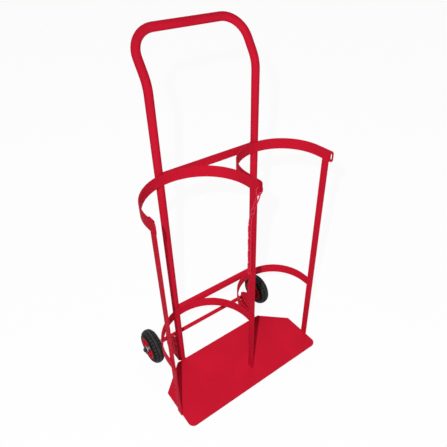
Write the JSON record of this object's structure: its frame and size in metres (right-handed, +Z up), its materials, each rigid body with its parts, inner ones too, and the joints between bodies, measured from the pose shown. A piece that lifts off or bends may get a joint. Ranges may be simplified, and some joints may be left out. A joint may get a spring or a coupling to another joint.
{
  "type": "gas cylinder cart",
  "caption": "Upright hand cart for a pair of gas cylinders: flat base plate, strip hoops round each bay, bent tube push handle, rubber wheels and a retaining chain.",
  "frame": {"origin": "middle of the base plate's underside, on the floor", "axes": "+Z up; -Y to the open front of the bays; +X to the right bay as seen from the front"},
  "size_m": [0.616, 0.406, 1.2125],
  "materials": {
    "red_paint": "semi-gloss",
    "rim_paint": "semi-gloss",
    "chain_paint": "semi-gloss",
    "tyre": "matt",
    "zinc_steel": "satin",
    "nylon": "satin"
  },
  "bodies": {
    "frame": {"base_plate": "red_paint", "handle_frame": "red_paint", "upper_cross_tube": "red_paint", "lower_cross_tube": "red_paint", "upper_left_hoop": "red_paint", "upper_right_hoop": "red_paint", "lower_left_hoop": "red_paint", "lower_right_hoop": "red_paint", "left_upright": "red_paint", "right_upright": "red_paint", "centre_post": "red_paint", "left_axle_bracket": "red_paint", "right_axle_bracket": "red_paint", "axle": "red_paint", "axle_collars": "zinc_steel", "axle_washers": "zinc_steel", "split_pins": "zinc_steel"},
    "left_wheel": {"left_tyre": "tyre", "left_outer_rim": "rim_paint", "left_inner_rim": "rim_paint", "left_hub": "zinc_steel", "left_bushes": "nylon", "left_rim_bolts": "zinc_steel"},
    "right_wheel": {"right_tyre": "tyre", "right_outer_rim": "rim_paint", "right_inner_rim": "rim_paint", "right_hub": "zinc_steel", "right_bushes": "nylon", "right_rim_bolts": "zinc_steel"},
    "chain": {"chain_anchor": "chain_paint", "chain_links": "chain_paint"}
  },
  "joints": [
    {"name": "left_wheel_spin", "type": "hinge", "parent": "frame", "child": "left_wheel", "pos_m": [-0.262, 0.209, 0.07], "axis": [1, 0, 0], "continuous": true},
    {"name": "right_wheel_spin", "type": "hinge", "parent": "frame", "child": "right_wheel", "pos_m": [0.262, 0.209, 0.07], "axis": [1, 0, 0], "continuous": true},
    {"name": "chain_swing", "type": "hinge", "parent": "frame", "child": "chain", "pos_m": [0.017, -0.076, 0.8195], "axis": [-1, 0, 0], "range_deg": [0, 120]}
  ]
}
